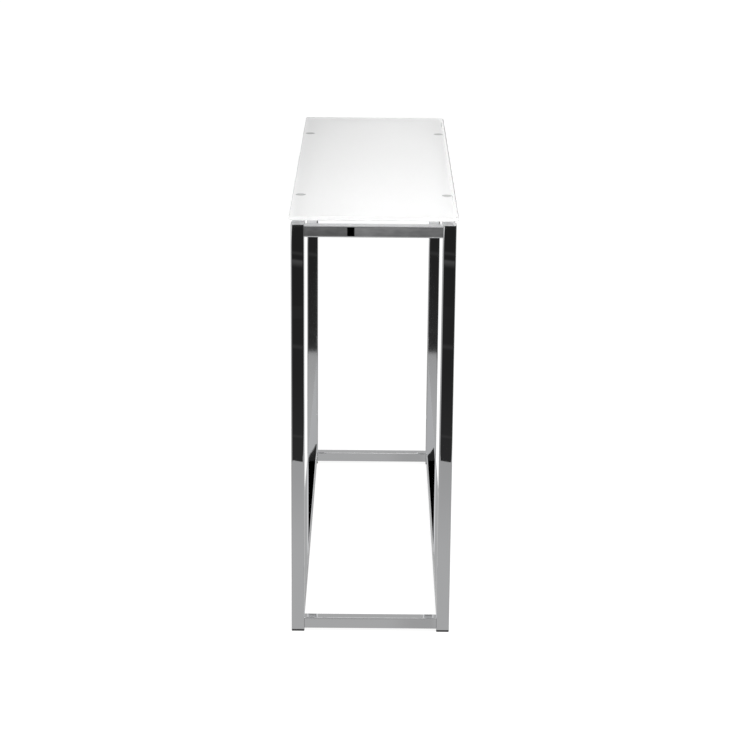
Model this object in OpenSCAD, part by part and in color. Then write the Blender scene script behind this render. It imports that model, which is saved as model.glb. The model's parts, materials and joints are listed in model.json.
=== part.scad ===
// Console table: a cuboid frame of chrome-plated square steel tube that carries
// a frosted glass top on four soft pads.
// Millimetres. X runs along the table to the right, Y to the rear, Z up.
// The origin is on the floor, under the centre of the glass.

/* [Overall] */
// Height of the table, from the floor to the top of the glass
table_h = 762; // [600:1:900]
// Length of the frame, over its legs
frame_l = 933; // [700:1:1400]
// Depth of the frame, over its legs
frame_w = 282; // [200:1:450]

/* [Tube] */
// Outside width of the legs' square tube
leg_w = 23; // [20:0.5:32]
// Outside width of the rails' square tube, which meets the middle of a leg's face
rail_w = 20.5; // [18:0.5:30]
// Wall of the tube
wall = 1.2; // [0.8:0.1:2]
// Outside radius of the tube's corners
tube_r = 2.5; // [1.6:0.1:3]
// Diameter of the drain hole under each end rail, for the plating bath
drain_d = 5; // [3:0.5:8]

/* [Leg caps] */
// Thickness of the plate welded onto the top of a leg
cap_t = 2.5; // [2:0.5:5]
// Radius along the cap's upper edges
cap_edge = 1.2; // [0.6:0.1:1.6]

/* [Rail joints] */
// Length of the spigot that a long rail slides over
spigot_l = 32; // [24:1:60]
// Clearance round the spigot, on each side
spigot_fit = 0.15; // [0.05:0.05:0.4]
// Radius round the spigot's nose
spigot_nose = 2; // [1:0.5:4]
// Distance of the screw from the end of the rail
screw_inset = 16; // [10:1:18]
// Diameter of the joint screw
screw_d = 5; // [4:0.5:6]
// Length of the screw under its head
screw_l = 12; // [8:1:14]
// Diameter of the screw's round head
screw_head_d = 9.5; // [8:0.5:11]
// Height of the screw's round head
screw_head_h = 2.7; // [2:0.1:3]
// Width across the flats of the screw's hexagon socket
socket_af = 3; // [2.5:0.5:4]
// Depth of the screw's hexagon socket
socket_depth = 1.6; // [1:0.1:1.8]
// Radial clearance of the screw in the rail's hole
screw_play = 0.3; // [0.1:0.05:0.6]
// Radial clearance of the screw in the spigot's thread
thread_fit = 0.05; // [0.02:0.01:0.1]

/* [Foot caps] */
// Height of the foot cap's sole under the leg
foot_h = 4; // [3.5:0.5:10]
// How far the sole stays inside the leg's faces
foot_inset = 0.2; // [0:0.1:1.5]
// Radius along the sole's lower edges
foot_edge = 1.2; // [0.5:0.1:2.5]
// Length of the hollow plug inside the leg
plug_l = 18; // [12:1:40]
// Wall of the hollow plug
plug_wall = 1.6; // [1:0.1:2.5]
// How far the gripping fins stand out of the plug
fin_out = 0.9; // [0.4:0.1:1.5]
// Thickness of a fin
fin_t = 1.2; // [0.8:0.1:2]
// Number of fins
fin_count = 4; // [2:1:5]
// Clearance of the fins in the tube, on each side
fin_fit = 0.05; // [0.02:0.01:0.1]

/* [Pads] */
// Diameter of a pad
pad_d = 20; // [14:0.5:20]
// Height of a pad, which is the gap between the rails and the glass
pad_h = 9.5; // [4:0.5:15]
// Radius along a pad's edges
pad_edge = 1; // [0.4:0.1:1.8]
// Distance of a pad's centre from the end of the frame
pad_inset = 175; // [80:1:300]
// Diameter of the suction dish in the top of a pad
dish_d = 13; // [6:0.5:13]
// Depth of the suction dish
dish_depth = 0.5; // [0.2:0.1:1.5]
// Diameter of a pad's stem
stem_d = 6; // [4:0.5:8]
// Radial clearance of the stem in the rail's hole
stem_fit = 0.1; // [0.05:0.05:0.3]
// Length of the stem's barbed tip below the tube wall
stem_tip = 6; // [4:0.5:10]
// How far the barb stands out of the stem
barb_out = 0.5; // [0.2:0.1:1]

/* [Glass] */
// Thickness of the glass
glass_t = 8; // [5:0.5:15]
// How far the glass overhangs the frame on each side
overhang = 3.5; // [0:0.5:30]
// Radius of the glass's corners
glass_r = 8; // [3:0.5:30]
// Ground bevel along the edges of the glass
arris = 0.8; // [0.3:0.1:1.5]

/* [Hidden] */
$fn = 48;
eps = 1;                                  // how far a cutter runs past a face
leg_bore = leg_w - 2 * wall;              // inside width of a leg
rail_bore = rail_w - 2 * wall;            // inside width of a rail
bore_r = max(tube_r - wall, 0.4);         // inside corner radius of the tubes
rail_top = table_h - glass_t - pad_h;     // top faces of the top rails
top_rail_z = rail_top - rail_w / 2;       // centre line of the top rails
bottom_rail_z = foot_h + leg_w / 2;       // centre line of the bottom rails
leg_x = (frame_l - leg_w) / 2;            // centre line of the legs, along X
leg_y = (frame_w - leg_w) / 2;            // centre line of the legs, along Y
long_rail_l = frame_l - 2 * leg_w;        // between the legs, along X
end_rail_l = frame_w - 2 * leg_w;         // between the legs, along Y
pad_x = frame_l / 2 - pad_inset;          // centre of a pad, along X
steel = "silver";
chrome = "gainsboro";
black_plastic = [0.12, 0.12, 0.13];
soft_plastic = [0.72, 0.74, 0.75];
frosted = [0.88, 0.93, 0.92, 0.7];

// ---- Shapes that several pieces share ----

// Square with rounded corners, centred on the origin
module rounded_square(size, r) {
    square([size, size - 2 * r], center = true);
    square([size - 2 * r, size], center = true);
    for (x = [-1, 1], y = [-1, 1])
        translate([x, y] * (size / 2 - r)) circle(r = r);
}

// Upright outline of a bar with its two top corners rounded
module crowned_outline(size, h, r) {
    translate([-size / 2, 0]) square([size, h - r]);
    translate([r - size / 2, 0]) square([size - 2 * r, h]);
    for (x = [-1, 1]) translate([x * (size / 2 - r), h - r]) circle(r = r);
}

// Square bar standing on z = 0, with rounded corners and a rounded top edge
module crowned_bar(size, h, corner_r, edge_r) {
    intersection() {
        linear_extrude(h) rounded_square(size, corner_r);
        rotate([90, 0, 0]) linear_extrude(size + 2 * eps, center = true)
            crowned_outline(size, h, edge_r);
        rotate([90, 0, 90]) linear_extrude(size + 2 * eps, center = true)
            crowned_outline(size, h, edge_r);
    }
}

// Straight length of tube, standing on z = 0
module tube_length(size, len) {
    linear_extrude(len) difference() {
        rounded_square(size, tube_r);
        rounded_square(size - 2 * wall, bore_r);
    }
}

// ---- Frame ----

// side is 1 at the right end and -1 at the left; row is -1 at the front and 1 at the rear
module at_leg(side, row) {
    translate([side * leg_x, row * leg_y, 0]) children();
}

module leg(side, row) {
    color(chrome) at_leg(side, row)
        translate([0, 0, foot_h]) tube_length(leg_w, rail_top - foot_h);
}

module leg_cap(side, row) {
    color(chrome) at_leg(side, row)
        translate([0, 0, rail_top]) crowned_bar(leg_w, cap_t, tube_r, cap_edge);
}

module end_rail(side, z) {
    color(chrome) translate([side * leg_x, 0, z]) difference() {
        rotate([90, 0, 0]) translate([0, 0, -end_rail_l / 2]) tube_length(rail_w, end_rail_l);
        translate([0, 0, -rail_w / 2 - eps]) cylinder(d = drain_d, h = wall + 2 * eps);
    }
}

module long_rail(row, z, with_pads) {
    color(chrome) translate([0, row * leg_y, z]) difference() {
        rotate([0, 90, 0]) translate([0, 0, -long_rail_l / 2]) tube_length(rail_w, long_rail_l);
        for (side = [-1, 1])
            translate([side * (long_rail_l / 2 - screw_inset), 0, -rail_w / 2 - eps])
                cylinder(r = screw_d / 2 + screw_play, h = wall + 2 * eps);
        if (with_pads) for (side = [-1, 1])
            translate([side * pad_x, 0, rail_w / 2 - wall - eps])
                cylinder(r = stem_d / 2 + stem_fit, h = wall + 2 * eps);
    }
}

// ---- Rail joints ----

// Block welded to the leg's inner face; the long rail slides over it
module spigot(side, row, z) {
    color(steel) translate([side * long_rail_l / 2, row * leg_y, z]) difference() {
        rotate([0, -90 * side, 0])
            crowned_bar(rail_bore - 2 * spigot_fit, spigot_l, bore_r, spigot_nose);
        translate([-side * screw_inset, 0, -rail_w / 2])
            cylinder(r = screw_d / 2 + thread_fit, h = screw_l + eps);
    }
}

// Screw with a domed head and a hexagon socket, pointing up, its head under z = 0
module joint_screw() {
    dome_r = screw_head_d * 0.62;
    difference() {
        union() {
            cylinder(d = screw_d, h = screw_l);
            intersection() {
                translate([0, 0, -screw_head_h]) cylinder(d = screw_head_d, h = screw_head_h);
                translate([0, 0, dome_r - screw_head_h]) sphere(r = dome_r);
            }
        }
        translate([0, 0, -screw_head_h - eps])
            cylinder(d = socket_af / cos(30), h = socket_depth + eps, $fn = 6);
    }
}

module joint_screws() {
    color(steel)
        for (side = [-1, 1], row = [-1, 1], z = [bottom_rail_z, top_rail_z])
            translate([side * (long_rail_l / 2 - screw_inset), row * leg_y, z - rail_w / 2])
                joint_screw();
}

// ---- Foot caps ----

// Push-in cap: a sole as wide as the tube and a hollow plug with gripping fins
module foot_cap(side, row) {
    plug = leg_bore - 2 * fin_out;
    fin_pitch = plug_l / (fin_count + 1);
    color(black_plastic) at_leg(side, row) {
        translate([0, 0, foot_h]) mirror([0, 0, 1])
            crowned_bar(leg_w - 2 * foot_inset, foot_h, tube_r, foot_edge);
        translate([0, 0, foot_h]) difference() {
            union() {
                linear_extrude(plug_l) rounded_square(plug, bore_r);
                for (i = [1 : fin_count]) translate([0, 0, i * fin_pitch])
                    linear_extrude(fin_t) rounded_square(leg_bore - 2 * fin_fit, bore_r);
            }
            linear_extrude(plug_l + eps) rounded_square(plug - 2 * plug_wall, bore_r);
        }
    }
}

// ---- Pads and glass ----

// Half outline of a pad's head, standing on z = 0
module pad_outline() {
    square([pad_d / 2 - pad_edge, pad_h]);
    translate([0, pad_edge]) square([pad_d / 2, pad_h - 2 * pad_edge]);
    for (z = [pad_edge, pad_h - pad_edge])
        translate([pad_d / 2 - pad_edge, z]) circle(r = pad_edge);
}

// Soft pad whose barbed stem snaps into the rail; its dish grips the glass
module pad(side, row) {
    stem_r = stem_d / 2;
    color(soft_plastic) translate([side * pad_x, row * leg_y, rail_top]) difference() {
        union() {
            rotate_extrude() pad_outline();
            rotate_extrude() polygon([
                [0, eps], [stem_r, eps], [stem_r, -wall - stem_fit],
                [stem_r + barb_out, -wall - stem_fit - barb_out],
                [stem_r / 2, -wall - stem_tip], [0, -wall - stem_tip],
            ]);
        }
        translate([0, 0, pad_h - dish_depth]) cylinder(d = dish_d, h = dish_depth + eps);
    }
}

// Half section of the glass from its middle out to an edge at x = reach
module glass_section(reach) {
    polygon([
        [0, 0], [reach - arris, 0], [reach, arris],
        [reach, glass_t - arris], [reach - arris, glass_t], [0, glass_t],
    ]);
}

module glass_top() {
    straight_x = frame_l / 2 + overhang - glass_r;
    straight_y = frame_w / 2 + overhang - glass_r;
    color(frosted) translate([0, 0, table_h - glass_t]) {
        for (row = [0, 180]) rotate([90, 0, 90 + row])
            linear_extrude(2 * straight_x, center = true) glass_section(straight_y + glass_r);
        for (side = [0, 180]) rotate([0, 0, side])
            translate([straight_x, 0, 0]) rotate([90, 0, 0])
                linear_extrude(2 * straight_y, center = true) glass_section(glass_r);
        for (x = [-1, 1], y = [-1, 1])
            translate([x * straight_x, y * straight_y, 0])
                rotate([0, 0, x > 0 ? (y > 0 ? 0 : -90) : (y > 0 ? 90 : 180)])
                    rotate_extrude(angle = 90) glass_section(glass_r);
    }
}

// ---- Assembly ----

leg(1, -1);  // leg_front_right
leg(1, 1);  // leg_rear_right
leg(-1, -1);  // leg_front_left
leg(-1, 1);  // leg_rear_left
leg_cap(1, -1);  // leg_cap_front_right
leg_cap(1, 1);  // leg_cap_rear_right
leg_cap(-1, -1);  // leg_cap_front_left
leg_cap(-1, 1);  // leg_cap_rear_left
foot_cap(1, -1);  // foot_cap_front_right
foot_cap(1, 1);  // foot_cap_rear_right
foot_cap(-1, -1);  // foot_cap_front_left
foot_cap(-1, 1);  // foot_cap_rear_left
end_rail(1, top_rail_z);  // end_rail_top_right
end_rail(1, bottom_rail_z);  // end_rail_bottom_right
end_rail(-1, top_rail_z);  // end_rail_top_left
end_rail(-1, bottom_rail_z);  // end_rail_bottom_left
long_rail(-1, top_rail_z, true);  // long_rail_top_front
long_rail(1, top_rail_z, true);  // long_rail_top_rear
long_rail(-1, bottom_rail_z, false);  // long_rail_bottom_front
long_rail(1, bottom_rail_z, false);  // long_rail_bottom_rear
spigot(1, -1, top_rail_z);  // spigot_top_front_right
spigot(1, 1, top_rail_z);  // spigot_top_rear_right
spigot(-1, -1, top_rail_z);  // spigot_top_front_left
spigot(-1, 1, top_rail_z);  // spigot_top_rear_left
spigot(1, -1, bottom_rail_z);  // spigot_bottom_front_right
spigot(1, 1, bottom_rail_z);  // spigot_bottom_rear_right
spigot(-1, -1, bottom_rail_z);  // spigot_bottom_front_left
spigot(-1, 1, bottom_rail_z);  // spigot_bottom_rear_left
joint_screws();
pad(1, -1);  // pad_front_right
pad(1, 1);  // pad_rear_right
pad(-1, -1);  // pad_front_left
pad(-1, 1);  // pad_rear_left
glass_top();
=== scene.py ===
# %% [markdown]
# # A console table in chromed steel and frosted glass
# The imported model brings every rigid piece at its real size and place: legs, rails, caps,
# pads and the glass. Blender adds what a drawing can't hold: the plating, the etched glass,
# the moulded plastics and the studio that they mirror. Lengths are in metres, apart from the
# lens and its sensor, which cameras give in millimetres.

# %% Load the frame
import json
import math

import bmesh
import bpy
from mathutils import Euler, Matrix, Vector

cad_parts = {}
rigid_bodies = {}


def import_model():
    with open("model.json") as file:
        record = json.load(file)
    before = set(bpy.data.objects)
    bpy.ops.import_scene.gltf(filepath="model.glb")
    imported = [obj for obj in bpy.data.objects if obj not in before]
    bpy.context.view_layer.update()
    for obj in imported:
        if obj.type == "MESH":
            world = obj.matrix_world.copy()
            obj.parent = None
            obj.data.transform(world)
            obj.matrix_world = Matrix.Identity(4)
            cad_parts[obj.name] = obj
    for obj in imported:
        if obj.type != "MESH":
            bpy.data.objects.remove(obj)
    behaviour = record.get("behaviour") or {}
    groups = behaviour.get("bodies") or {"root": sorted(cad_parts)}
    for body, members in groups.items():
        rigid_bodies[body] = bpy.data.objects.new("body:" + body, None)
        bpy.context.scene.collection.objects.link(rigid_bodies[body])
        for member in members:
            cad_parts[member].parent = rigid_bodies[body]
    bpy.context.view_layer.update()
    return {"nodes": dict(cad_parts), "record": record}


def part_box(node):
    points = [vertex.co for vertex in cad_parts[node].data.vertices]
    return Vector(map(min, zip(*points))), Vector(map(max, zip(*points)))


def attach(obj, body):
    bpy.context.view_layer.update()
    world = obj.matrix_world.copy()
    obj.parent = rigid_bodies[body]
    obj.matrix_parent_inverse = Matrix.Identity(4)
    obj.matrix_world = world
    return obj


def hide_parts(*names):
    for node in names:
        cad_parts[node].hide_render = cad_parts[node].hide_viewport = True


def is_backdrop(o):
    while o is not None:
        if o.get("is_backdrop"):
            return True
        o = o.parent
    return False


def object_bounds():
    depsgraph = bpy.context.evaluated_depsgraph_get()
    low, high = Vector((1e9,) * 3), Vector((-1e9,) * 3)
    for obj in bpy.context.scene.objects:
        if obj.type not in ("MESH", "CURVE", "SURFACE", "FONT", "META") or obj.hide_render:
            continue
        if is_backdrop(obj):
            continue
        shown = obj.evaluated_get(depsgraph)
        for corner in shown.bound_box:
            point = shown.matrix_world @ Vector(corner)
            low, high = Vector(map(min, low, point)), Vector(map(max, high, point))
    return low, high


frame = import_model()
nodes = frame["nodes"]
scene = bpy.context.scene
scene.view_settings.view_transform = "Standard"

# %% [markdown]
# ## The camera
# A long lens stands beyond the right-hand end of the table, a little above the top, and looks
# down its length. Its distance decides how fast the far end shrinks, and the lens only how
# large the table comes out, so the place is found first and the lens last. Tilting the camera
# is enough here, so the lens needs no shift.

# %% Camera
CAMERA_PLACE = (4.0833, -0.0003, 1.5818)
CAMERA_PITCH = 16.99
CAMERA_YAW = 0.145
CAMERA_ROLL = 0.517
LENS = 104.22
SENSOR = 36
SEES_AS_FAR_AS = 60

lens = bpy.data.cameras.new("long_lens")
lens.lens = LENS
lens.sensor_width = SENSOR
lens.clip_end = SEES_AS_FAR_AS
camera = bpy.data.objects.new("camera", lens)
camera.location = CAMERA_PLACE
angles = [math.radians(angle) for angle in (90 - CAMERA_PITCH, 0, 90 - CAMERA_YAW)]
look = Euler(angles, "XYZ").to_matrix()
turn = Euler((0, 0, math.radians(CAMERA_ROLL)), "XYZ").to_matrix()
camera.rotation_euler = (look @ turn).to_euler()
scene.collection.objects.link(camera)
scene.camera = camera

# %% [markdown]
# ## Small helpers for node trees
# Materials, groups and the world are built from the same few moves: add a node, fill its
# inputs, and do a small sum. Short helpers keep each material readable. A ramp turns a place
# or a direction into a soft mask, and a band is two ramps back to back.

# %% Nodes, sums and masks
def fill(tree, node, inputs):
    """Fills a node's inputs: numbers and colours stay as values, and sockets are linked."""
    for name, value in inputs.items():
        socket = node.inputs[name]
        if isinstance(value, bpy.types.NodeSocket):
            tree.links.new(value, socket)
        else:
            socket.default_value = value


def add(tree, kind, inputs=None, **settings):
    """Adds a node; settings go on the node itself, and inputs are filled."""
    node = tree.nodes.new("ShaderNode" + kind)
    for name, value in settings.items():
        setattr(node, name, value)
    fill(tree, node, inputs or {})
    return node


def maths(tree, operation, first, second=0.0, clamp=False):
    """A Math node's result."""
    node = add(tree, "Math", {0: first, 1: second}, operation=operation, use_clamp=clamp)
    return node.outputs[0]


def mix(tree, factor, low, high):
    """A plain mix of two numbers."""
    return add(tree, "Mix", {0: factor, 2: low, 3: high}, data_type="FLOAT").outputs[0]


def mix_colour(tree, factor, low, high):
    """A plain mix of two colours."""
    return add(tree, "Mix", {0: factor, 6: low, 7: high}, data_type="RGBA").outputs[2]


def ramp(tree, value, low, high):
    """0 at low, 1 at high and a smooth step between them."""
    node = add(tree, "MapRange", {0: value, 1: low, 2: high}, interpolation_type="SMOOTHSTEP")
    return node.outputs[0]


def band(tree, value, low, rise, fall, high):
    """1 between rise and fall, and 0 below low and above high."""
    return maths(tree, "MULTIPLY", ramp(tree, value, low, rise), ramp(tree, value, high, fall))


def place_in(tree):
    """The point's place in the table's own coordinates."""
    return add(tree, "TexCoord").outputs["Object"]


def split(tree, vector):
    """X, Y and Z of a vector."""
    return add(tree, "SeparateXYZ", {0: vector}).outputs


print("helpers:", [tool.__name__ for tool in (fill, add, maths, mix, mix_colour, ramp, band)])

# %% [markdown]
# ## Helpers for groups and materials
# A node group is an effect that is drawn once and placed in several materials, each with its
# own values. The shader itself stays in the material, where the exporter can read it.

# %% Groups and materials
def new_group(name, inputs, outputs):
    """A shader node group with named sockets: (name, socket kind, default value)."""
    group = bpy.data.node_groups.new(name, "ShaderNodeTree")
    for label, kind, value in inputs:
        kind = "NodeSocket" + kind
        socket = group.interface.new_socket(name=label, in_out="INPUT", socket_type=kind)
        socket.default_value = value
    for label, kind in outputs:
        kind = "NodeSocket" + kind
        group.interface.new_socket(name=label, in_out="OUTPUT", socket_type=kind)
    start = group.nodes.new("NodeGroupInput").outputs
    end = group.nodes.new("NodeGroupOutput")
    return group, start, end


def use_group(tree, group, inputs):
    """Places a node group in a material with its own values."""
    node = tree.nodes.new("ShaderNodeGroup")
    node.node_tree = group
    fill(tree, node, inputs)
    return node.outputs


def new_material(name):
    """A material with an untouched Principled surface; returns it, its tree and that shader."""
    material = bpy.data.materials.new(name)
    material.use_nodes = True
    tree = material.node_tree
    return material, tree, tree.nodes["Principled BSDF"]


def empty_material(name):
    """A material whose tree is empty, for paper and for cards that glow."""
    material, tree, surface = new_material(name)
    tree.nodes.clear()
    return material, tree


print("helpers:", [tool.__name__ for tool in (new_group, use_group, new_material, empty_material)])

# %% [markdown]
# ## Waviness
# The faces of a drawn tube swell and sink by hundredths of a millimetre, and a mirror finish
# shows it, because the straight lines in it bend a little. A mesh fine enough for that would
# be huge, so a slow noise drives a bump instead. Only the chrome uses it here, with its values
# on the group's own sockets.

# %% Waviness group
waviness, start, end = new_group(
    "Waviness",
    [("Stretch", "Vector", (1, 1, 1)), ("Scale", "Float", 10.0), ("Depth", "Float", 0.00005)],
    [("Normal", "Vector")],
)
stretch = {0: place_in(waviness), 1: start["Stretch"]}
stretched = add(waviness, "VectorMath", stretch, operation="MULTIPLY").outputs[0]
swell = {"Vector": stretched, "Scale": start["Scale"], "Detail": 1.0}
height = add(waviness, "TexNoise", swell).outputs[0]
bump = add(waviness, "Bump", {"Strength": 1.0, "Distance": start["Depth"], "Height": height})
fill(waviness, end, {"Normal": bump.outputs[0]})
print("group:", waviness.name, "with", len(waviness.nodes), "nodes")

# %% [markdown]
# ## Handling marks
# Hands and cloths dull a gloss in patches. A painted map would need unwrapped meshes, and a
# noise in the table's own space runs across every piece without a seam. The group gives the
# roughness, and the mask on its own for a finish that changes its colour too.

# %% Handling marks group
MARK_DETAIL = 5.0
MARK_BREAKUP = 0.62
MARK_BORDER = 0.22

marks, start, end = new_group(
    "Handling marks",
    [
        ("Clean", "Float", 0.03),
        ("Smeared", "Float", 0.12),
        ("Scale", "Float", 6.0),
        ("Spread", "Float", 0.5),
    ],
    [("Roughness", "Float"), ("Mask", "Float")],
)
patchy = {"Vector": place_in(marks), "Scale": start["Scale"]}
patchy.update({"Detail": MARK_DETAIL, "Roughness": MARK_BREAKUP})
patches = add(marks, "TexNoise", patchy).outputs[0]
border = maths(marks, "ADD", start["Spread"], MARK_BORDER)
smear = ramp(marks, patches, start["Spread"], border)
roughness = mix(marks, smear, start["Clean"], start["Smeared"])
fill(marks, end, {"Roughness": roughness, "Mask": smear})
print("group:", marks.name, "with", len(marks.nodes), "nodes")

# %% [markdown]
# ## Fine grain
# Moulded plastic and zinc plating have a tooth too fine to model. Small rounded cells drive a
# bump, and the height comes out as well, for a finish that wants to tint the hollows.

# %% Fine grain group
grain, start, end = new_group(
    "Fine grain",
    [("Scale", "Float", 900.0), ("Depth", "Float", 0.00003)],
    [("Height", "Float"), ("Normal", "Vector")],
)
tooth = {"Vector": place_in(grain), "Scale": start["Scale"]}
cells = add(grain, "TexVoronoi", tooth, feature="SMOOTH_F1").outputs[0]
bump = add(grain, "Bump", {"Strength": 1.0, "Distance": start["Depth"], "Height": cells})
fill(grain, end, {"Height": cells, "Normal": bump.outputs[0]})
print("node groups:", [group.name for group in bpy.data.node_groups])

# %% [markdown]
# ## Bright chrome
# Chrome plate is a mirror that gives back about seven tenths of the light, slightly cool. Its
# look comes from what it mirrors, so the material only adds the tube's slow swell and a faint
# haze. The two legs at the left end are a shade hazier between ankle and knee, where the table
# is gripped when it is moved.

# %% Chrome material
CHROME = (0.715, 0.72, 0.73, 1)
CHROME_HAZE = {"Clean": 0.008, "Smeared": 0.035, "Scale": 9.0, "Spread": 0.55}
CHROME_SWELL = {"Stretch": (1, 1, 1), "Scale": 7.0, "Depth": 0.00004}
GRIPPED_ROUGHNESS = 0.03
GRIPPED_END = (-0.40, -0.43)
GRIPPED_HEIGHT = (0.10, 0.17, 0.40, 0.50)

chrome, tree, surface = new_material("bright_chrome")
haze = use_group(tree, marks, CHROME_HAZE)
swell = use_group(tree, waviness, CHROME_SWELL)
place = split(tree, place_in(tree))
at_left_end = ramp(tree, place["X"], *GRIPPED_END)
gripped = maths(tree, "MULTIPLY", at_left_end, band(tree, place["Z"], *GRIPPED_HEIGHT))
roughness = mix(tree, gripped, haze["Roughness"], GRIPPED_ROUGHNESS)
plating = {"Base Color": CHROME, "Metallic": 1.0, "Roughness": roughness, "Normal": swell["Normal"]}
fill(tree, surface, plating)
print("chrome:", chrome.name, "gives back", round(sum(CHROME[:3]) / 3, 2), "of the light")

# %% [markdown]
# ## Polished glass
# The top is toughened glass with polished faces and edges. It could be mixed from a glass and
# a transparent shader, but the Principled surface does it in one, and exports as it is. Full
# transmission and an index of 1.5 are all that clear glass needs, and a thin film of smears
# keeps the gloss from being perfect.

# %% Polished glass material
GLASS_TINT = (0.989, 0.99, 0.989)
GLASS_INDEX = 1.5
GLASS_FILM = {"Clean": 0.015, "Smeared": 0.05, "Scale": 5.0, "Spread": 0.5}

polished, tree, surface = new_material("polished_glass")
film = use_group(tree, marks, GLASS_FILM)
clear = {"Base Color": (*GLASS_TINT, 1), "Transmission Weight": 1.0, "IOR": GLASS_INDEX}
fill(tree, surface, {**clear, "Roughness": film["Roughness"]})
print("glass:", polished.name, "with an index of", GLASS_INDEX)

# %% [markdown]
# ## Etched glass
# The lower face is etched to a fine satin, which scatters light, so the rails a few
# millimetres below melt away. Most of the satin is matt white and the rest lets blurred light
# through. Each pad's shade is painted into the satin's colour as a grey disc: painted shade
# where the pad stands under the glass. The pads lie alike in the four quarters of the table,
# so the place is folded into one quarter and the distance to one pad draws all four.

# %% Etched glass material
ETCHED_CLEARNESS = 0.18
ETCHED_ROUGHNESS = 0.9
# Painted shade: how dark the pads' shade is painted into the satin's colour.
PAD_SHADE_TONE = 0.44
PAD_SHADE_RADIUS = 0.0088
PAD_SHADE_FADE = 0.0006

etched, tree, surface = new_material("etched_glass")
pad_low, pad_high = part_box("pad_rear_right")
pad_middle = (pad_low + pad_high) / 2
pad_middle.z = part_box("glass_top")[0].z
folded = add(tree, "VectorMath", {0: place_in(tree)}, operation="ABSOLUTE").outputs[0]
from_pad = add(tree, "VectorMath", {0: folded, 1: pad_middle}, operation="DISTANCE")
# Painted shade: a grey disc in the satin's colour where each pad stands under the glass.
painted_pad_shade = ramp(tree, from_pad.outputs["Value"], PAD_SHADE_RADIUS + PAD_SHADE_FADE, PAD_SHADE_RADIUS)
pad_shade_colour = [PAD_SHADE_TONE * tint for tint in GLASS_TINT]
satin = {
    "Base Color": mix_colour(tree, painted_pad_shade, (*GLASS_TINT, 1), (*pad_shade_colour, 1)),
    "Transmission Weight": ETCHED_CLEARNESS,
    "Roughness": ETCHED_ROUGHNESS,
    "IOR": GLASS_INDEX,
}
fill(tree, surface, satin)
print("pad marks:", round(2000 * PAD_SHADE_RADIUS, 1), "mm across, on", etched.name)

# %% [markdown]
# ## Plastics and zinc
# The pads are a soft grey plastic that light enters a little way, which a low subsurface
# weight gives. The foot caps are black polypropylene with a moulded skin that wears a little
# paler. The hidden screws and spigots are zinc-plated steel. All three share the grain and
# differ in its scale and depth, which is quicker than three materials from nothing.

# %% Plastic and zinc materials
PAD_GREY = (0.22, 0.225, 0.23, 1)
CAP_BLACK = (0.03, 0.03, 0.031, 1)
WORN_BLACK = (0.05, 0.05, 0.052, 1)
ZINC = (0.62, 0.63, 0.66, 1)

soft_plastic, tree, surface = new_material("soft_pad_plastic")
skin = use_group(tree, grain, {"Scale": 700.0, "Depth": 0.00002})
depth = {"Subsurface Weight": 0.25, "Subsurface Scale": 0.003}
fill(tree, surface, {"Base Color": PAD_GREY, "Roughness": 0.38, "Normal": skin["Normal"], **depth})

black_plastic, tree, surface = new_material("black_moulded_plastic")
skin = use_group(tree, grain, {"Scale": 1100.0, "Depth": 0.00004})
wear = use_group(tree, marks, {"Clean": 0.42, "Smeared": 0.62, "Scale": 60.0, "Spread": 0.45})
tone = mix_colour(tree, wear["Mask"], CAP_BLACK, WORN_BLACK)
moulded = {"Base Color": tone, "Roughness": wear["Roughness"], "Normal": skin["Normal"]}
fill(tree, surface, moulded)

zinc, tree, surface = new_material("zinc_plated_steel")
skin = use_group(tree, grain, {"Scale": 1500.0, "Depth": 0.00001})
wear = use_group(tree, marks, {"Clean": 0.24, "Smeared": 0.42, "Scale": 90.0, "Spread": 0.45})
plated = {"Base Color": ZINC, "Metallic": 1.0}
fill(tree, surface, {**plated, "Roughness": wear["Roughness"], "Normal": skin["Normal"]})
print("finishes:", [finish.name for finish in (soft_plastic, black_plastic, zinc)])

# %% [markdown]
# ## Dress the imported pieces
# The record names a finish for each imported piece. Each could be dressed by hand, but one table
# from that slot to a material dresses them all, and a piece that is added later as well.

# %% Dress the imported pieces
FINISH_OF_SLOT = {
    "chrome": chrome,
    "frosted_glass": polished,
    "soft_plastic": soft_plastic,
    "black_plastic": black_plastic,
    "steel": zinc,
}
for part in frame["record"]["subparts"]:
    for slot in nodes[part["node"]].material_slots:
        slot.material = FINISH_OF_SLOT[part["material_slot"]]
print("dressed", len(nodes), "pieces in", len(FINISH_OF_SLOT), "finishes")

# %% [markdown]
# ## A lathe for small moulded parts
# A pad is round, so it is turned like a piece on a lathe: an outline of radius and height is
# swept round an upright axis. A screw modifier could do it too, but building the rings keeps
# the faces clean where the outline meets the axis.

# %% Arc and lathe
PAD_SIDES = 72


def arc(radius, height, bend, first, last, steps=6):
    """Points of a round corner; the angles are in degrees, from the outward direction."""
    turns = [math.radians(first + (last - first) * step / steps) for step in range(steps + 1)]
    return [(radius + bend * math.cos(turn), height + bend * math.sin(turn)) for turn in turns]


def ring_of(form, radius, height):
    """The corners of one ring, or one corner many times over where it meets the axis."""
    if radius == 0:
        return [form.verts.new((0, 0, height))] * PAD_SIDES
    turns = [2 * math.pi * step / PAD_SIDES for step in range(PAD_SIDES)]
    places = [(radius * math.cos(turn), radius * math.sin(turn), height) for turn in turns]
    return [form.verts.new(place) for place in places]


def turned(name, outline, centre, material):
    """Turns an outline of (radius, height) points round an upright axis."""
    form = bmesh.new()
    rings = [ring_of(form, radius, height) for radius, height in outline]
    for upper, lower in zip(rings, rings[1:]):
        for step in range(PAD_SIDES):
            after = (step + 1) % PAD_SIDES
            corners = [upper[step], lower[step], lower[after], upper[after]]
            form.faces.new(list(dict.fromkeys(corners))).smooth = True
    mesh = bpy.data.meshes.new(name)
    form.to_mesh(mesh)
    form.free()
    mesh.materials.append(material)
    piece = bpy.data.objects.new(name, mesh)
    piece.location = centre
    scene.collection.objects.link(piece)
    return piece


print("lathe:", PAD_SIDES, "sides to a turn")

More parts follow.
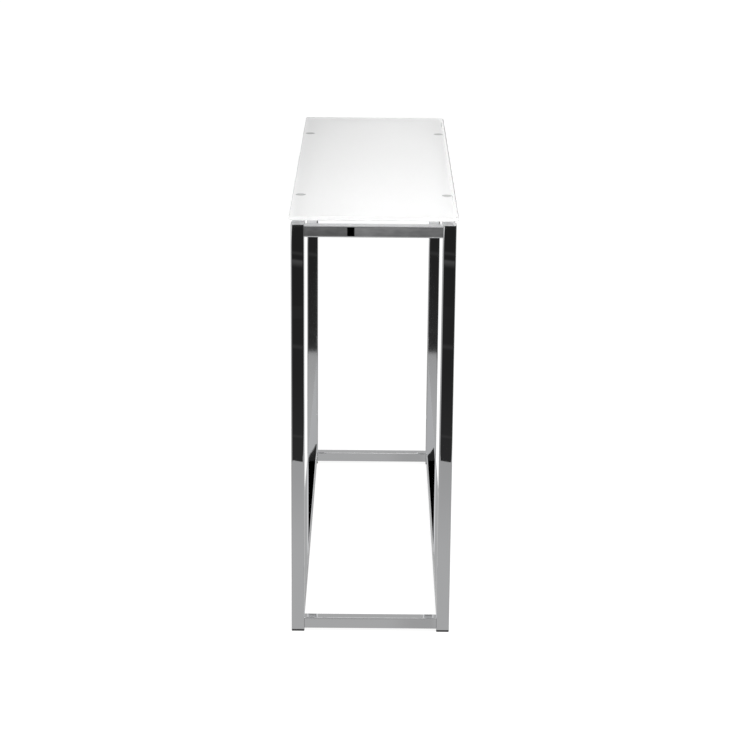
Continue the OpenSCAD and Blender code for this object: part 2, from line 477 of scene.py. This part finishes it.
# %% [markdown]
# ## Soft pads
# Four moulded pads hold the glass clear of the frame. A shallow dish on top grips the glass,
# the waist lets the pad give, and a barbed stem snaps into the rail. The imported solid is
# plainer, so a turned mesh stands in for it. Its contact ring stops a hair under the glass,
# because two faces in one plane would hide each other.

# %% Soft pads
HAIR = 0.00004
DISH_DEPTH = 0.0005
DISH_REACH = (0, 0.003, 0.0058)
RING_INSIDE = (0.0069, 0.0004)
RING_OUTSIDE = (0.0088, 0.0012)
WAIST = 0.0095
WAIST_SHOULDER = (0.0096, 0.0012)
FOOT_ROUND = (0.0092, 0.0008)
COLLAR = 0.0045
STEM = 0.003
STEM_BELOW_SEAT = 0.0013
BARB = ((0.0035, 0.0018), (0.0034, 0.0021))
TIP = ((0.0017, 0.0002), (0.0014, 0), (0, 0))


def pad_outline(top, seat, tip):
    """From the middle of the dish, over the rim and the waist, down to the stem's tip."""
    head = [(radius, top - DISH_DEPTH) for radius in DISH_REACH]
    for (radius, bend), angles in ((RING_INSIDE, (180, 90)), (RING_OUTSIDE, (90, 0))):
        head += arc(radius, top - bend, bend, *angles)
    middle = (top + seat) / 2
    shoulder, rise = WAIST_SHOULDER
    waist = [(shoulder, middle + rise), (WAIST, middle), (shoulder, middle - rise)]
    radius, bend = FOOT_ROUND
    foot = arc(radius, seat + bend, bend, 0, -90)
    neck = [(COLLAR, seat), (STEM, seat), (STEM, seat - STEM_BELOW_SEAT)]
    barb = [(radius, seat - drop) for radius, drop in BARB]
    return head + waist + foot + neck + barb + [(radius, tip + rise) for radius, rise in TIP]


rail_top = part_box("long_rail_top_front")[1].z
for row in ("front", "rear"):
    for side in ("right", "left"):
        node = "pad_" + row + "_" + side
        low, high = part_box(node)
        middle = ((low.x + high.x) / 2, (low.y + high.y) / 2, 0)
        outline = pad_outline(high.z - HAIR, rail_top, low.z)
        piece = turned("soft_" + node, outline, middle, soft_plastic)
        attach(piece, "root")
        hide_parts(node)
        print(node, round(1000 * (high.z - low.z), 1), "mm tall,", len(outline), "rings")

# %% [markdown]
# ## The glass slab
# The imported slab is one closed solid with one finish. The real one has two, so a slab of the
# same size stands in for it. A cube with a bevel modifier would do for the form, but a stack
# of rounded outlines keeps every ring in hand: the underside, a ground bevel, the polished
# edge, another bevel and the polished top.

# %% Stack of rounded outlines
CORNER_RADIUS = 0.008
BEVEL = 0.0014
CORNER_STEPS = 24


def rounded_outline(half_x, half_y, radius, height):
    """Points round a rectangle with round corners, anticlockwise from the right-hand side."""
    points = []
    for quarter, (sign_x, sign_y) in enumerate(((1, 1), (-1, 1), (-1, -1), (1, -1))):
        for step in range(CORNER_STEPS + 1):
            turn = math.pi / 2 * (quarter + step / CORNER_STEPS)
            x = sign_x * (half_x - radius) + radius * math.cos(turn)
            y = sign_y * (half_y - radius) + radius * math.sin(turn)
            points.append((x, y, height))
    return points


low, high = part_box("glass_top")
stack = [(BEVEL, low.z), (0, low.z + BEVEL), (0, high.z - BEVEL), (BEVEL, high.z)]
form = bmesh.new()
rings = []
for inset, z in stack:
    outline = rounded_outline(high.x - inset, high.y - inset, CORNER_RADIUS - inset, z)
    rings.append([form.verts.new(point) for point in outline])
underside = form.faces.new(list(reversed(rings[0])))
form.faces.new(rings[-1])
for lower, upper in zip(rings, rings[1:]):
    for step, corner in enumerate(lower):
        after = (step + 1) % len(lower)
        form.faces.new((corner, lower[after], upper[after], upper[step]))
print("slab:", len(form.verts), "corners and", len(form.faces), "faces")

# %% [markdown]
# ## Crisp edges and the border of the etch
# The rims of the bevels stay sharp, while the round corners are shaded smooth. The etch stops
# 2 mm short of the front edge and 7 mm short of the rear one, which leaves two clear strips.
# A mask in the material could draw them, but clear and etched glass differ in transmission,
# which stays a plain value, so the underside is cut into three faces instead.

# %% Two finishes on one slab
ETCHED_EDGES = (-0.1425, 0.1376)

for face in form.faces:
    face.smooth = True
for ring in rings:
    for step, corner in enumerate(ring):
        form.edges.get((corner, ring[(step + 1) % len(ring)])).smooth = False
strips = [underside]
for border in ETCHED_EDGES:
    parts = [*strips]
    for strip in strips:
        parts += [*strip.edges, *strip.verts]
    parts = list(dict.fromkeys(parts))
    bmesh.ops.bisect_plane(form, geom=parts, plane_co=(0, border, 0), plane_no=(0, 1, 0))
    strips = [face for face in form.faces if all(corner.co.z == low.z for corner in face.verts)]
for strip in strips:
    middle = strip.calc_center_median().y
    strip.material_index = int(ETCHED_EDGES[0] < middle < ETCHED_EDGES[1])
mesh = bpy.data.meshes.new("glass_slab")
form.to_mesh(mesh)
form.free()
mesh.materials.append(polished)
mesh.materials.append(etched)
slab = bpy.data.objects.new("glass_slab", mesh)
scene.collection.objects.link(slab)
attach(slab, "root")
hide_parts("glass_top")
print("glass:", [round(1000 * side, 1) for side in slab.dimensions], "mm,", len(strips), "strips")

# %% [markdown]
# ## The studio
# Chrome has no look of its own, so the studio is half of the work. The eye sees a white floor
# and a white backdrop, and the metal mirrors something else: a grey floor that ends some
# metres away, dark walls and cards beyond it, a pale backdrop behind the table and a soft
# ceiling. Every piece of it is marked as stage, because it isn't part of the table.

# %% Studio helpers
ONE_MIRROR = 1.5
NEAR_MIRROR = 4.1
WHITE = (1, 1, 1, 1)


def set_up(name, mesh, centre=(0, 0, 0)):
    """Stands a mesh in the studio as stage."""
    thing = bpy.data.objects.new(name, mesh)
    thing.location = centre
    scene.collection.objects.link(thing)
    thing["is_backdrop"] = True
    return thing


def only_in_mirrors(card):
    """Hides a card from the eye and from soft light, so that only gloss shows it."""
    card.visible_camera = False
    card.visible_diffuse = False
    card.visible_transmission = False
    card.visible_volume_scatter = False
    card.visible_shadow = False


def after_two_mirrors(tree, glow):
    """Lets a glow show in a mirror that is near, or in any after two mirrors, else clear."""
    path = add(tree, "LightPath").outputs
    twice = maths(tree, "GREATER_THAN", path["Ray Depth"], ONE_MIRROR)
    near = maths(tree, "LESS_THAN", path["Ray Length"], NEAR_MIRROR)
    clear = add(tree, "BsdfTransparent").outputs[0]
    shown = maths(tree, "MAXIMUM", twice, near)
    return add(tree, "MixShader", {0: shown, 1: clear, 2: glow}).outputs[0]


def glowing(name, brightness_of, late=False):
    """A material that glows; with late, far mirrors show it only after a second mirror."""
    material, tree = empty_material(name)
    light = {"Color": WHITE, "Strength": brightness_of(tree)}
    glow = add(tree, "Emission", light).outputs[0]
    if late:
        glow = after_two_mirrors(tree, glow)
    add(tree, "OutputMaterial", {0: glow})
    material.cycles.emission_sampling = "NONE"
    return material


def even(tone):
    """The same brightness all over a card."""
    return lambda tree: tone


print("mirrors nearer than", NEAR_MIRROR, "m show every card")

# %% [markdown]
# ## White floor with a soft shadow
# White paper under a strong lamp would light the table from below as well. So the floor is
# two sheets in one: the eye and the glass see one that glows almost white and keeps a little
# of the shadow, and soft light sees a matt one. Mirrors don't see it at all.

# %% White floor
FLOOR_SIZE = 40
FLOOR_GLOW = 0.88
FLOOR_BOUNCE = 0.2
SEEN_PAPER = (0.25, 0.25, 0.25, 1)
LIT_PAPER = (0.85, 0.85, 0.85, 1)


def sheet(tree, strength, colour):
    """Paper that glows by strength on top of its matt colour."""
    glow = add(tree, "Emission", {"Color": WHITE, "Strength": strength}).outputs[0]
    matt = add(tree, "BsdfDiffuse", {"Color": colour}).outputs[0]
    return add(tree, "AddShader", {0: glow, 1: matt}).outputs[0]


paper, tree = empty_material("pale_floor")
ray = add(tree, "LightPath").outputs
seen = maths(tree, "MAXIMUM", ray["Is Camera Ray"], ray["Is Transmission Ray"])
lit_sheet = sheet(tree, FLOOR_BOUNCE, LIT_PAPER)
seen_sheet = sheet(tree, FLOOR_GLOW, SEEN_PAPER)
choice = add(tree, "MixShader", {0: seen, 1: lit_sheet, 2: seen_sheet}).outputs[0]
add(tree, "OutputMaterial", {0: choice})

mesh = bpy.data.meshes.new("floor")
half = FLOOR_SIZE / 2
corners = [(-half, -half, 0), (half, -half, 0), (half, half, 0), (-half, half, 0)]
mesh.from_pydata(corners, [], [(0, 1, 2, 3)])
mesh.materials.append(paper)
floor = set_up("floor", mesh)
floor.visible_glossy = False
print("floor:", [round(side) for side in floor.dimensions.xy], "m")

# %% [markdown]
# ## Grey studio floor
# The upright faces of the legs and rails mirror what lies before them and below the lens. It
# could be a colour of the world, but then its border would stand at the same height in every
# leg. A real disc, far below the white floor, ends at another height in the near legs than in
# the far ones. It fades towards its rim and has one duller patch.

# %% Grey studio floor
MIRRORED_FLOOR_DROP = 1.81
MIRRORED_FLOOR_REACH = 6.615
MIRRORED_FLOOR_SIDES = 256
FADE_FROM = 5.3
FLOOR_TONES = (0.512, 0.43)
PATCH_ACROSS = (0.05, 0.18, 0.23, 0.27)
PATCH_TONE = 0.87


def floor_tone(tree):
    """Brighter under the table, duller towards the rim and in the patch."""
    place = place_in(tree)
    far = add(tree, "VectorMath", {0: place}, operation="LENGTH").outputs["Value"]
    tone = mix(tree, ramp(tree, far, FADE_FROM, MIRRORED_FLOOR_REACH), *FLOOR_TONES)
    patch = band(tree, split(tree, place)["Y"], *PATCH_ACROSS)
    return maths(tree, "MULTIPLY", tone, mix(tree, patch, 1.0, PATCH_TONE))


mesh = bpy.data.meshes.new("mirrored_floor")
disc = bmesh.new()
sides, reach = MIRRORED_FLOOR_SIDES, MIRRORED_FLOOR_REACH
bmesh.ops.create_circle(disc, cap_ends=True, segments=sides, radius=reach)
disc.to_mesh(mesh)
disc.free()
mesh.materials.append(glowing("grey_studio_floor", floor_tone))
mirrored_floor = set_up("mirrored_floor", mesh, (0, 0, -MIRRORED_FLOOR_DROP))
only_in_mirrors(mirrored_floor)
print("grey floor:", round(2 * MIRRORED_FLOOR_REACH, 2), "m across")

# %% [markdown]
# ## The card and the walls
# Beyond the grey floor stand dark walls, and before them a card that the upper end rail
# mirrors. A flat tone in either would make the chrome look painted. So the card is in three
# tones, brightest in the middle, and mottled like a paper backdrop, and the walls carry a few
# faint sloping lines, like mouldings. Both are drawn by place, with ramps and a noise.

# %% Tones of the card and the walls
STAND = (-0.1195, -0.0865)
CARD_TONES = (0.135, 0.23, 0.176)
CARD_RIGHT = 0.32
CARD_HEIGHTS = (-0.74, -0.65)
CARD_LIFT = (0.9, 1.3)
CARD_CLOUDS = (0, 16, 45)
CLOUD_SPREAD = (0.3, 0.7)
CLOUD_TONES = (0.86, 1.14)
WALL_TONES = (0.019, 0.0215, 0.031)
WALL_HEIGHTS = ((-0.8, -1.25), (-1.3, -1.8))
LINE_SIDE = 0.348
LINE_SLOPE = 0.14
LINE_TILT = 0.007
WALL_LINES = (
    (-0.797, -0.81, -0.823, 0.019),
    (-0.836, -0.847, -0.881, 0.051),
    (-1.238, -1.256, -1.272, 0.018),
    (-1.684, -1.695, -1.706, 0.014),
)


def card_tone(tree):
    """Three tones side by side, brighter towards the top, with soft clouds."""
    place = place_in(tree)
    parts = split(tree, place)
    across, up = parts["Y"], parts["Z"]
    left, middle, right = CARD_TONES
    wide = mix(tree, ramp(tree, across, STAND[1], CARD_RIGHT), middle, right)
    tone = mix(tree, maths(tree, "GREATER_THAN", across, STAND[0]), left, wide)
    lift = mix(tree, ramp(tree, up, *CARD_HEIGHTS), *CARD_LIFT)
    spread = add(tree, "VectorMath", {0: place, 1: CARD_CLOUDS}, operation="MULTIPLY").outputs[0]
    clouds = add(tree, "TexNoise", {"Vector": spread, "Scale": 1.0, "Detail": 3.0}).outputs[0]
    mottle = mix(tree, ramp(tree, clouds, *CLOUD_SPREAD), *CLOUD_TONES)
    return maths(tree, "MULTIPLY", maths(tree, "MULTIPLY", tone, lift), mottle)


def line_height(tree, place):
    """The height at which the wall's lines are drawn; they slope up on both sides."""
    side = add(tree, "Math", {0: place["Y"]}, operation="SIGN").outputs[0]
    beside = maths(tree, "SUBTRACT", place["Y"], maths(tree, "MULTIPLY", side, LINE_SIDE))
    slope = maths(tree, "MULTIPLY", beside, LINE_SLOPE)
    level = maths(tree, "SUBTRACT", slope, maths(tree, "MULTIPLY", place["Y"], LINE_TILT))
    return maths(tree, "ADD", place["Z"], level)


def wall_tone(tree):
    """Dark, a little paler towards the floor, with a few faint sloping lines."""
    place = split(tree, place_in(tree))
    upper = mix(tree, ramp(tree, place["Z"], *WALL_HEIGHTS[0]), *WALL_TONES[:2])
    tone = mix(tree, ramp(tree, place["Z"], *WALL_HEIGHTS[1]), upper, WALL_TONES[2])
    height = line_height(tree, place)
    for top, peak, foot, extra in WALL_LINES:
        line = band(tree, height, foot, peak, peak, top)
        tone = maths(tree, "ADD", tone, maths(tree, "MULTIPLY", line, extra))
    return tone


print("walls:", len(WALL_LINES), "faint lines; card:", len(CARD_TONES), "tones")

# %% [markdown]
# ## Cards, screens and flags
# These are the black cloth and grey board that a studio hangs round polished metal. The world
# could be painted the same, but a near card slides against a far one as in a real room. Each
# is one flat face across the X axis, seen only in mirrors. A dark stand splits the far card,
# two kerbs trim the corners of the grey floor, and a low board lights the bottom rail. A black
# screen hangs over the lens with a slanted flag at each corner. It is there for light that two
# tubes have passed on, and a mirror far from it, such as the glass at the left end, skips it.

# %% Cards and screens behind the camera
FAR_WALL = 6.625
UPPER_WALL = (-0.5, 0.5, -1.06, -0.69)
LOWER_WALL = (-0.5, 0.5, -1.805, -1.12)
FAR_CARDS = 6.57
GREY_CARD = (-0.3175, 0.3185, -0.775, -0.615)
STAND_AHEAD = 0.02
DARK_STAND = (*STAND, -0.8, -0.6)
KERBS = 6.5
KERB_WIDTH = 0.068
KERB_HEIGHTS = (-1.7705, -1.782, -1.75)
LOW_BOARD_AT = 1.5
LOW_BOARD = (-0.15, 0.15, -0.405, -0.03)
LOW_BOARD_TONE = 0.51
NEAR_SCREEN = 4.083
SCREEN = [(-0.6, 1.616), (-0.24, 1.616), (-0.24, 1.5845), (0.232, 1.5845), (0.232, 1.6117)]
SCREEN += [(0.6, 1.6117), (0.6, 2.346), (-0.6, 2.346)]
FLAGS_AHEAD = 0.01
FLAG_TONE = 0.028
LEFT_FLAG = [(-0.2433, 1.54), (-0.2845, 1.616), (-0.2, 1.616), (-0.2, 1.54)]
RIGHT_FLAG = [(0.277, 1.5394), (0.2302, 1.6117), (0.3, 1.6117), (0.3, 1.5394)]


def upright_card(name, distance, outline, tone, late=False):
    """A flat card across the X axis; the outline's points are (y, z)."""
    mesh = bpy.data.meshes.new(name)
    corners = [(distance, y, z) for y, z in outline]
    mesh.from_pydata(corners, [], [tuple(range(len(corners)))])
    mesh.materials.append(glowing(name, tone, late))
    only_in_mirrors(set_up(name, mesh))


def rectangle(first, last, bottom, top):
    """Corners of a card from y = first to y = last."""
    return [(first, bottom), (last, bottom), (last, top), (first, top)]


upright_card("upper_wall", FAR_WALL, rectangle(*UPPER_WALL), wall_tone)
upright_card("lower_wall", FAR_WALL, rectangle(*LOWER_WALL), wall_tone)
upright_card("grey_card", FAR_CARDS, rectangle(*GREY_CARD), card_tone)
upright_card("dark_stand", FAR_CARDS - STAND_AHEAD, rectangle(*DARK_STAND), even(0.0))
upright_card("black_screen", NEAR_SCREEN, SCREEN, even(0.0), late=True)
for name, flag in (("left_flag", LEFT_FLAG), ("right_flag", RIGHT_FLAG)):
    upright_card(name, NEAR_SCREEN - FLAGS_AHEAD, flag, even(FLAG_TONE), late=True)
upright_card("rail_card", LOW_BOARD_AT, rectangle(*LOW_BOARD), even(LOW_BOARD_TONE))
for first, name in ((-0.38, "left_kerb"), (0.312, "right_kerb")):
    last = first + KERB_WIDTH
    inner, outer, top = KERB_HEIGHTS
    kerb = [(first, inner), (last, outer), (last, top), (first, top)]
    upright_card(name, KERBS, kerb, even(WALL_TONES[2]))
hidden = [thing.name for thing in scene.objects if not thing.visible_camera]
print("seen in mirrors only:", hidden)

# %% [markdown]
# ## The room behind the camera
# The world is what the metal mirrors where no card hangs. A panorama would do, but ramps over
# the direction keep each part a number that can be moved: X points past the camera, Y across
# and Z up. Behind the camera a dark corridor runs level in the middle, with a grey room round
# it and a bright low band under it.

# %% World, behind the camera
DARK_ROOM = 0.022
BEHIND_CAMERA = 0.72
CORRIDOR_TOP = (0.08, 0.12)
CORRIDOR_SIDE = (0.05, 0.09)
LOW_BAND = 0.88
LOW_BAND_TOP = (-0.2195, -0.2205)

world = bpy.data.worlds.new("studio")
scene.world = world
world.use_nodes = True
tree = world.node_tree
tree.nodes.clear()
direction = split(tree, add(tree, "TexCoord").outputs["Generated"])
aside = maths(tree, "ABSOLUTE", direction["Y"])
over = ramp(tree, direction["Z"], *CORRIDOR_TOP)
around = maths(tree, "MAXIMUM", over, ramp(tree, aside, *CORRIDOR_SIDE))
behind = mix(tree, around, DARK_ROOM, BEHIND_CAMERA)
behind = mix(tree, ramp(tree, direction["Z"], *LOW_BAND_TOP), behind, LOW_BAND)
print("room: dark", DARK_ROOM, "grey", BEHIND_CAMERA, "low band", LOW_BAND)

# %% [markdown]
# ## The backdrop behind the table
# Ahead of the camera hangs a pale backdrop. The glass top catches a brighter sheen from it,
# which is stronger on the right and grows with height. The rounded edges of the tubes catch a
# strip near the horizon that is bright on the left and dark on the right. It could be a lit
# board, but nothing stands near it, so directions are enough.

# %% World, behind the table
BACKDROP = 0.505
GLASS_SHEEN = ((0.46, 0.69), (0.7, 0.9))
SHEEN_GROWS = (0.172, 0.225)
SHEEN_ACROSS = (-0.045, 0.012)
SHEEN_HEIGHTS = (0.08, 0.14, 0.25, 0.31)
SHEEN_AHEAD = (-0.8, -0.93)
RIM_HEIGHTS = (-0.16, -0.11, 0.04, 0.08)
RIM_AHEAD = (-0.8, -0.9)
RIM_TONES = (0.9, 0.1)
RIM_ACROSS = (-0.1, 0.1)
TURN_OF_WALLS = (0.75, -0.1)


def ahead(heights, reach):
    """A mask for a band of heights that lies straight ahead of the camera."""
    level = band(tree, direction["Z"], *heights)
    return maths(tree, "MULTIPLY", level, ramp(tree, direction["X"], *reach))


sheen_left, sheen_right = [
    mix(tree, ramp(tree, direction["Z"], *SHEEN_GROWS), *tones) for tones in GLASS_SHEEN
]
sheen = mix(tree, ramp(tree, direction["Y"], *SHEEN_ACROSS), sheen_left, sheen_right)
front = mix(tree, ahead(SHEEN_HEIGHTS, SHEEN_AHEAD), BACKDROP, sheen)
rim = mix(tree, ramp(tree, direction["Y"], *RIM_ACROSS), *RIM_TONES)
front = mix(tree, ahead(RIM_HEIGHTS, RIM_AHEAD), front, rim)
walls = mix(tree, ramp(tree, direction["X"], *TURN_OF_WALLS), behind, front)
print("backdrop:", BACKDROP, "with a sheen up to", max(GLASS_SHEEN[1]))

# %% [markdown]
# ## Sides, ceiling and skirting
# Dark curtains and bright boxes at both sides give the long faces of the legs their edges, and
# a soft ceiling closes the room. They could be planes, but they are plain and far off, so they
# are drawn by direction too. Below a thin skirting line the room is another one, which turns
# from dark behind the camera to pale ahead. The line is tilted a touch, as the table doesn't
# stand quite square to the wall.

# %% World, sides and ceiling
SIDEWAYS = (0.5, 0.7)
CURTAIN = 0.06
CURTAIN_HEIGHTS = (-0.215, -0.205, -0.07, -0.01)
SIDE_BOXES = 1.3
BOX_HEIGHTS = (0.30, 0.34, 0.60, 0.64)
CEILING = 0.42
CEILING_FROM = (0.41, 0.5)
SKEW = 0.45
LOW_WALLS_TURN = (1.0, 0.0)
LEVEL_TILT = 0.0104
SKIRTING = (-0.2249, -0.2241)

sideways = ramp(tree, aside, *SIDEWAYS)
curtain = band(tree, direction["Z"], *CURTAIN_HEIGHTS)
walls = mix(tree, maths(tree, "MULTIPLY", sideways, curtain), walls, CURTAIN)
roofed = mix(tree, ramp(tree, direction["Z"], *CEILING_FROM), walls, CEILING)
boxes = band(tree, direction["Z"], *BOX_HEIGHTS)
roofed = mix(tree, maths(tree, "MULTIPLY", sideways, boxes), roofed, SIDE_BOXES)
skewed = maths(tree, "ADD", direction["X"], maths(tree, "MULTIPLY", direction["Y"], SKEW))
low_walls = mix(tree, ramp(tree, skewed, *LOW_WALLS_TURN), DARK_ROOM, BACKDROP)
tilt = maths(tree, "MULTIPLY", direction["Y"], LEVEL_TILT)
level = maths(tree, "SUBTRACT", direction["Z"], tilt)
mirrored = mix(tree, ramp(tree, level, *SKIRTING), low_walls, roofed)
print("sides: curtain", CURTAIN, "boxes", SIDE_BOXES, "ceiling", CEILING)

# %% [markdown]
# ## One world for each kind of light
# The eye sees plain white. Glass passes on a little more from above, which keeps the frosted
# top pale. Matt pieces get a soft even light, and only gloss sees the studio. A ray that went
# through glass counts as seen and not as mirrored.

# %% World, put together
SOFT_LIGHT = 0.6
THROUGH_GLASS = 1.22
THROUGH_GLASS_FROM = (0.1, 0.6)

ray = add(tree, "LightPath").outputs
plain = maths(tree, "MAXIMUM", ray["Is Camera Ray"], ray["Is Transmission Ray"])
gloss, passed = ray["Is Glossy Ray"], ray["Is Transmission Ray"]
reflected = maths(tree, "SUBTRACT", gloss, passed, clamp=True)
through = mix(tree, ramp(tree, direction["Z"], *THROUGH_GLASS_FROM), 1.0, THROUGH_GLASS)
seen = mix(tree, passed, 1.0, through)
strength = mix(tree, reflected, mix(tree, plain, SOFT_LIGHT, seen), mirrored)
sky = add(tree, "Background", {"Color": WHITE, "Strength": strength}).outputs[0]
add(tree, "OutputWorld", {0: sky})
print("world:", len(tree.nodes), "nodes, soft light", SOFT_LIGHT)

# %% [markdown]
# ## One large soft lamp
# A square lamp hangs above the rear right-hand corner. A sun would cut a hard shadow, and a
# lamp as large and near as this one leaves it faint and soft. Its power is worked out from its
# area, so that the glow stays the same when the lamp is made larger.

# %% Soft lamp overhead
LAMP_SIZE = (1.2, 1.2)
LAMP_GLOW = 8.5
LAMP_PLACE = (1.1, 0.9, 2.3)

lamp = bpy.data.lights.new("soft_lamp", "AREA")
lamp.shape = "RECTANGLE"
lamp.size, lamp.size_y = LAMP_SIZE
lamp.energy = LAMP_GLOW * math.pi * lamp.size * lamp.size_y
overhead = bpy.data.objects.new("soft_lamp", lamp)
overhead.location = LAMP_PLACE
scene.collection.objects.link(overhead)
print("lamp:", round(lamp.energy, 1), "W at", LAMP_PLACE)

# %% [markdown]
# ## Write the sizes and finish
# The box round the dressed table is written out in millimetres, because the looks must not
# change the table's size.

# %% Write the sizes and finish
low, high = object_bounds()
print("dressed table, in mm:", [round(1000 * side) for side in high - low])
